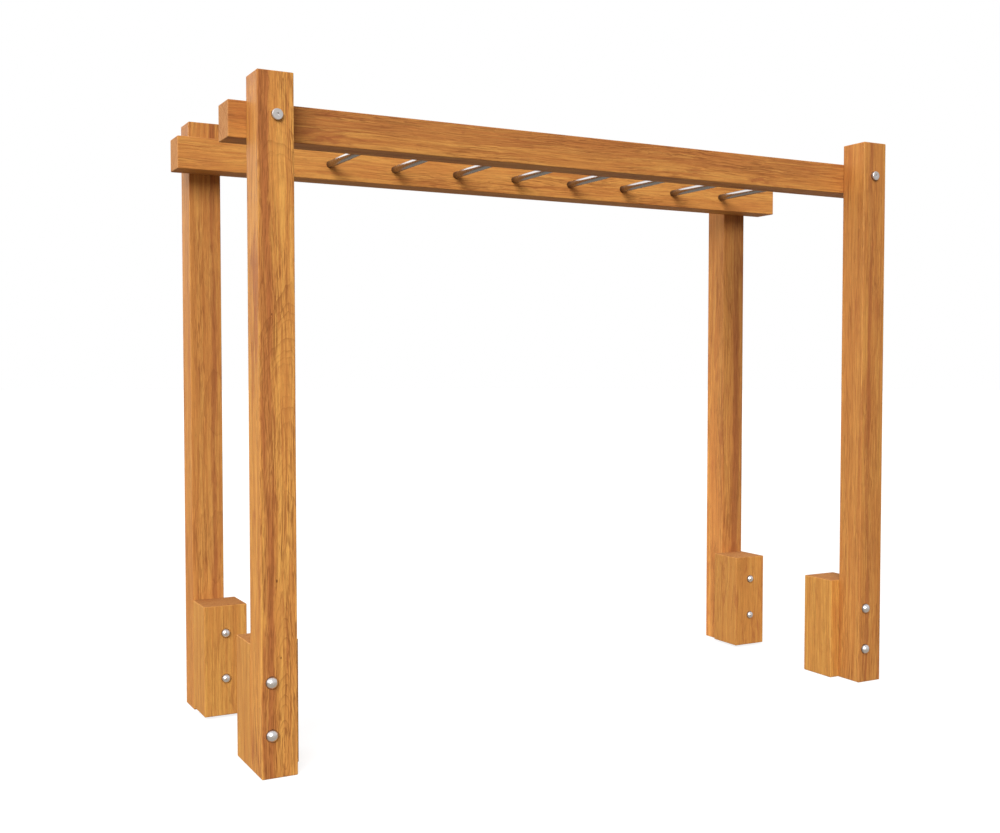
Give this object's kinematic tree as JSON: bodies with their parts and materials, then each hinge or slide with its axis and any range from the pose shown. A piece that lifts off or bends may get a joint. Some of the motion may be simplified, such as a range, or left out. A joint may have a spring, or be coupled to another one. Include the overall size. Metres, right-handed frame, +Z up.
{
  "type": "overhead ladder",
  "caption": "Outdoor timber overhead ladder for pull-ups: square posts with bolted anchor blocks carry two beams joined by round steel rungs.",
  "frame": {"origin": "on the ground, midway along the beams and midway between the front and back posts", "axes": "+X along the beams, +Y from the front posts to the back posts, +Z up"},
  "size_m": [3.3, 1.24, 2.625],
  "materials": {
    "oiled_timber": "oiled, satin",
    "timber_plug": "oiled end grain",
    "rung_steel": "satin",
    "dome_steel": "polished",
    "disc_steel": "satin",
    "lock_screw_steel": "satin",
    "zinc_steel": "zinc plated"
  },
  "bodies": {
    "root": {"anchor_block_back_left": "oiled_timber", "anchor_block_back_right": "oiled_timber", "anchor_block_front_left": "oiled_timber", "anchor_block_front_right": "oiled_timber", "anchor_bolt_back_left_lower": "dome_steel", "anchor_bolt_back_left_upper": "dome_steel", "anchor_bolt_back_right_lower": "dome_steel", "anchor_bolt_back_right_upper": "dome_steel", "anchor_bolt_front_left_lower": "dome_steel", "anchor_bolt_front_left_upper": "dome_steel", "anchor_bolt_front_right_lower": "dome_steel", "anchor_bolt_front_right_upper": "dome_steel", "barrel_nut_back_left": "zinc_steel", "barrel_nut_back_right": "zinc_steel", "barrel_nut_front_left": "zinc_steel", "barrel_nut_front_right": "zinc_steel", "beam_back": "oiled_timber", "beam_bolt_back_left": "disc_steel", "beam_bolt_back_right": "disc_steel", "beam_bolt_front_left": "disc_steel", "beam_bolt_front_right": "disc_steel", "beam_front": "oiled_timber", "bore_plug_back_left": "timber_plug", "bore_plug_back_right": "timber_plug", "bore_plug_front_left": "timber_plug", "bore_plug_front_right": "timber_plug", "dome_nut_back_left_lower": "dome_steel", "dome_nut_back_left_upper": "dome_steel", "dome_nut_back_right_lower": "dome_steel", "dome_nut_back_right_upper": "dome_steel", "dome_nut_front_left_lower": "dome_steel", "dome_nut_front_left_upper": "dome_steel", "dome_nut_front_right_lower": "dome_steel", "dome_nut_front_right_upper": "dome_steel", "post_back_left": "oiled_timber", "post_back_right": "oiled_timber", "post_front_left": "oiled_timber", "post_front_right": "oiled_timber", "rung_1": "rung_steel", "rung_2": "rung_steel", "rung_3": "rung_steel", "rung_4": "rung_steel", "rung_5": "rung_steel", "rung_6": "rung_steel", "rung_7": "rung_steel", "rung_8": "rung_steel", "rung_9": "rung_steel", "rung_lock_screws_back": "lock_screw_steel", "rung_lock_screws_front": "lock_screw_steel"}
  },
  "joints": []
}
